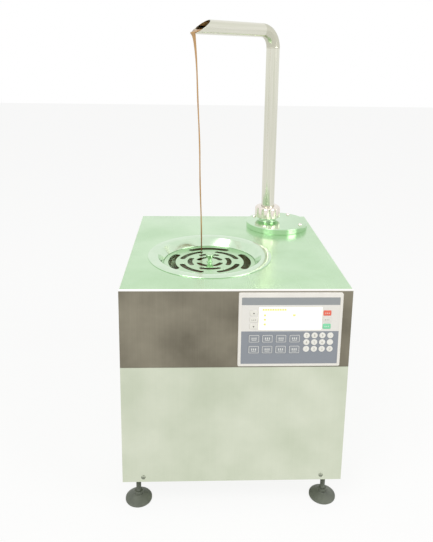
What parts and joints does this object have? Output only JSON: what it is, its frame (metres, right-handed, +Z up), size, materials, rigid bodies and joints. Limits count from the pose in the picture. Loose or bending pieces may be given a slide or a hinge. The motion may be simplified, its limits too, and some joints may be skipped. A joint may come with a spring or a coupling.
{
  "type": "chocolate tempering machine",
  "caption": "Table-top tempering machine: square steel cabinet on levelling feet, stirred tank under a slotted strainer, cooled screw cylinder, bent swivel spout, key panel.",
  "frame": {"origin": "on the ground under the middle of the cabinet", "axes": "+Z up along the spout's riser, -Y towards the operator's side with the key panel, +X to the operator's right"},
  "size_m": [0.43, 0.4849, 0.955],
  "materials": {
    "satin_stainless": "satin brushed stainless sheet",
    "dark_brushed_stainless": "dark brushed stainless sheet",
    "polished_stainless": "polished stainless",
    "screw_steel": "bright screw",
    "grey_foot": "dark grey moulded pad on a steel screw",
    "heater_rubber": "silicone heater band",
    "motor_paint": "grey painted housing",
    "black_paint": "black painted can",
    "condenser_aluminium": "bare fins and galvanised shroud",
    "fan_plastic": "black moulded fan",
    "copper": "bare copper tube",
    "board_laminate": "green circuit board",
    "black_plastic": "black moulded inlet",
    "white_plastic": "off-white moulded case",
    "overlay_film": "printed front film",
    "display_glass": "lit pale display",
    "key_white": "white key",
    "key_grey": "grey key with white outline",
    "key_light": "off-white key",
    "key_red": "red key",
    "key_green": "green key"
  },
  "bodies": {
    "casing": {"base_tray": "satin_stainless", "casing_screws": "screw_steel", "compressor": "black_paint", "condenser": "condenser_aluminium", "control_board": "board_laminate", "flange_disc": "polished_stainless", "flange_screws": "screw_steel", "hmi_case": "white_plastic", "hmi_overlay": "overlay_film", "lcd_module": "display_glass", "left_side_panel": "satin_stainless", "lower_front_panel": "satin_stainless", "power_inlet": "black_plastic", "rear_panel": "satin_stainless", "refrigerant_lines": "copper", "right_side_panel": "satin_stainless", "screw_gearmotor": "motor_paint", "stirrer_gearmotor": "motor_paint", "tank": "polished_stainless", "tank_heater": "heater_rubber", "tempering_cylinder": "polished_stainless", "top_cover": "satin_stainless", "transfer_pipe": "polished_stainless", "upper_front_panel": "dark_brushed_stainless"},
    "strainer": {"strainer": "polished_stainless"},
    "stirrer": {"stirrer": "polished_stainless"},
    "tempering_screw": {"tempering_screw": "polished_stainless"},
    "condenser_fan": {"condenser_fan": "fan_plastic"},
    "union_nut": {"union_nut": "polished_stainless"},
    "spout_pipe": {"spout_pipe": "polished_stainless"},
    "levelling_foot_front_left": {"levelling_foot_front_left": "grey_foot"},
    "levelling_foot_front_right": {"levelling_foot_front_right": "grey_foot"},
    "levelling_foot_rear_left": {"levelling_foot_rear_left": "grey_foot"},
    "levelling_foot_rear_right": {"levelling_foot_rear_right": "grey_foot"},
    "down_key": {"down_key": "key_light"},
    "function_key_1": {"function_key_1": "key_grey"},
    "function_key_2": {"function_key_2": "key_grey"},
    "function_key_3": {"function_key_3": "key_grey"},
    "function_key_4": {"function_key_4": "key_grey"},
    "function_key_5": {"function_key_5": "key_grey"},
    "function_key_6": {"function_key_6": "key_grey"},
    "function_key_7": {"function_key_7": "key_grey"},
    "function_key_8": {"function_key_8": "key_grey"},
    "key_0": {"key_0": "key_white"},
    "key_1": {"key_1": "key_white"},
    "key_2": {"key_2": "key_white"},
    "key_3": {"key_3": "key_white"},
    "key_4": {"key_4": "key_white"},
    "key_5": {"key_5": "key_white"},
    "key_6": {"key_6": "key_white"},
    "key_7": {"key_7": "key_white"},
    "key_8": {"key_8": "key_white"},
    "key_9": {"key_9": "key_white"},
    "key_clear": {"key_clear": "key_white"},
    "key_point": {"key_point": "key_white"},
    "page_key": {"page_key": "key_light"},
    "reset_key": {"reset_key": "key_light"},
    "start_key": {"start_key": "key_green"},
    "stop_key": {"stop_key": "key_red"},
    "up_key": {"up_key": "key_light"}
  },
  "joints": [
    {"name": "levelling_foot_front_left_height", "type": "slide", "parent": "casing", "child": "levelling_foot_front_left", "axis": [0, 0, 1], "range_m": [-0.012, 0.012]},
    {"name": "levelling_foot_front_right_height", "type": "slide", "parent": "casing", "child": "levelling_foot_front_right", "axis": [0, 0, 1], "range_m": [-0.012, 0.012]},
    {"name": "levelling_foot_rear_left_height", "type": "slide", "parent": "casing", "child": "levelling_foot_rear_left", "axis": [0, 0, 1], "range_m": [-0.012, 0.012]},
    {"name": "levelling_foot_rear_right_height", "type": "slide", "parent": "casing", "child": "levelling_foot_rear_right", "axis": [0, 0, 1], "range_m": [-0.012, 0.012]},
    {"name": "strainer_lift", "type": "slide", "parent": "casing", "child": "strainer", "axis": [0, 0, 1], "range_m": [0, 0.12]},
    {"name": "stirrer_turn", "type": "hinge", "parent": "casing", "child": "stirrer", "pos_m": [-0.045, -0.057, 0.3], "axis": [0, 0, 1], "continuous": true},
    {"name": "tempering_screw_turn", "type": "hinge", "parent": "casing", "child": "tempering_screw", "pos_m": [0.1272, 0.1516, 0.3], "axis": [0, 0, 1], "continuous": true},
    {"name": "condenser_fan_spin", "type": "hinge", "parent": "casing", "child": "condenser_fan", "pos_m": [-0.092, 0.18, 0.164], "axis": [0, 1, 0], "continuous": true},
    {"name": "spout_swivel", "type": "hinge", "parent": "casing", "child": "spout_pipe", "pos_m": [0.105, 0.162, 0.504], "axis": [0, 0, 1], "range_deg": [-180, 180]},
    {"name": "union_nut_turn", "type": "hinge", "parent": "casing", "child": "union_nut", "pos_m": [0.105, 0.162, 0.5], "axis": [0, 0, 1], "range_deg": [0, 1080]},
    {"name": "down_key_press", "type": "slide", "parent": "casing", "child": "down_key", "axis": [0, 1, 0], "range_m": [0, 0.0005], "stiffness_N_per_m": 1500},
    {"name": "function_key_1_press", "type": "slide", "parent": "casing", "child": "function_key_1", "axis": [0, 1, 0], "range_m": [0, 0.0005], "stiffness_N_per_m": 1500},
    {"name": "function_key_2_press", "type": "slide", "parent": "casing", "child": "function_key_2", "axis": [0, 1, 0], "range_m": [0, 0.0005], "stiffness_N_per_m": 1500},
    {"name": "function_key_3_press", "type": "slide", "parent": "casing", "child": "function_key_3", "axis": [0, 1, 0], "range_m": [0, 0.0005], "stiffness_N_per_m": 1500},
    {"name": "function_key_4_press", "type": "slide", "parent": "casing", "child": "function_key_4", "axis": [0, 1, 0], "range_m": [0, 0.0005], "stiffness_N_per_m": 1500},
    {"name": "function_key_5_press", "type": "slide", "parent": "casing", "child": "function_key_5", "axis": [0, 1, 0], "range_m": [0, 0.0005], "stiffness_N_per_m": 1500},
    {"name": "function_key_6_press", "type": "slide", "parent": "casing", "child": "function_key_6", "axis": [0, 1, 0], "range_m": [0, 0.0005], "stiffness_N_per_m": 1500},
    {"name": "function_key_7_press", "type": "slide", "parent": "casing", "child": "function_key_7", "axis": [0, 1, 0], "range_m": [0, 0.0005], "stiffness_N_per_m": 1500},
    {"name": "function_key_8_press", "type": "slide", "parent": "casing", "child": "function_key_8", "axis": [0, 1, 0], "range_m": [0, 0.0005], "stiffness_N_per_m": 1500},
    {"name": "key_0_press", "type": "slide", "parent": "casing", "child": "key_0", "axis": [0, 1, 0], "range_m": [0, 0.0005], "stiffness_N_per_m": 1500},
    {"name": "key_1_press", "type": "slide", "parent": "casing", "child": "key_1", "axis": [0, 1, 0], "range_m": [0, 0.0005], "stiffness_N_per_m": 1500},
    {"name": "key_2_press", "type": "slide", "parent": "casing", "child": "key_2", "axis": [0, 1, 0], "range_m": [0, 0.0005], "stiffness_N_per_m": 1500},
    {"name": "key_3_press", "type": "slide", "parent": "casing", "child": "key_3", "axis": [0, 1, 0], "range_m": [0, 0.0005], "stiffness_N_per_m": 1500},
    {"name": "key_4_press", "type": "slide", "parent": "casing", "child": "key_4", "axis": [0, 1, 0], "range_m": [0, 0.0005], "stiffness_N_per_m": 1500},
    {"name": "key_5_press", "type": "slide", "parent": "casing", "child": "key_5", "axis": [0, 1, 0], "range_m": [0, 0.0005], "stiffness_N_per_m": 1500},
    {"name": "key_6_press", "type": "slide", "parent": "casing", "child": "key_6", "axis": [0, 1, 0], "range_m": [0, 0.0005], "stiffness_N_per_m": 1500},
    {"name": "key_7_press", "type": "slide", "parent": "casing", "child": "key_7", "axis": [0, 1, 0], "range_m": [0, 0.0005], "stiffness_N_per_m": 1500},
    {"name": "key_8_press", "type": "slide", "parent": "casing", "child": "key_8", "axis": [0, 1, 0], "range_m": [0, 0.0005], "stiffness_N_per_m": 1500},
    {"name": "key_9_press", "type": "slide", "parent": "casing", "child": "key_9", "axis": [0, 1, 0], "range_m": [0, 0.0005], "stiffness_N_per_m": 1500},
    {"name": "key_clear_press", "type": "slide", "parent": "casing", "child": "key_clear", "axis": [0, 1, 0], "range_m": [0, 0.0005], "stiffness_N_per_m": 1500},
    {"name": "key_point_press", "type": "slide", "parent": "casing", "child": "key_point", "axis": [0, 1, 0], "range_m": [0, 0.0005], "stiffness_N_per_m": 1500},
    {"name": "page_key_press", "type": "slide", "parent": "casing", "child": "page_key", "axis": [0, 1, 0], "range_m": [0, 0.0005], "stiffness_N_per_m": 1500},
    {"name": "reset_key_press", "type": "slide", "parent": "casing", "child": "reset_key", "axis": [0, 1, 0], "range_m": [0, 0.0005], "stiffness_N_per_m": 1500},
    {"name": "start_key_press", "type": "slide", "parent": "casing", "child": "start_key", "axis": [0, 1, 0], "range_m": [0, 0.0005], "stiffness_N_per_m": 1500},
    {"name": "stop_key_press", "type": "slide", "parent": "casing", "child": "stop_key", "axis": [0, 1, 0], "range_m": [0, 0.0005], "stiffness_N_per_m": 1500},
    {"name": "up_key_press", "type": "slide", "parent": "casing", "child": "up_key", "axis": [0, 1, 0], "range_m": [0, 0.0005], "stiffness_N_per_m": 1500}
  ]
}
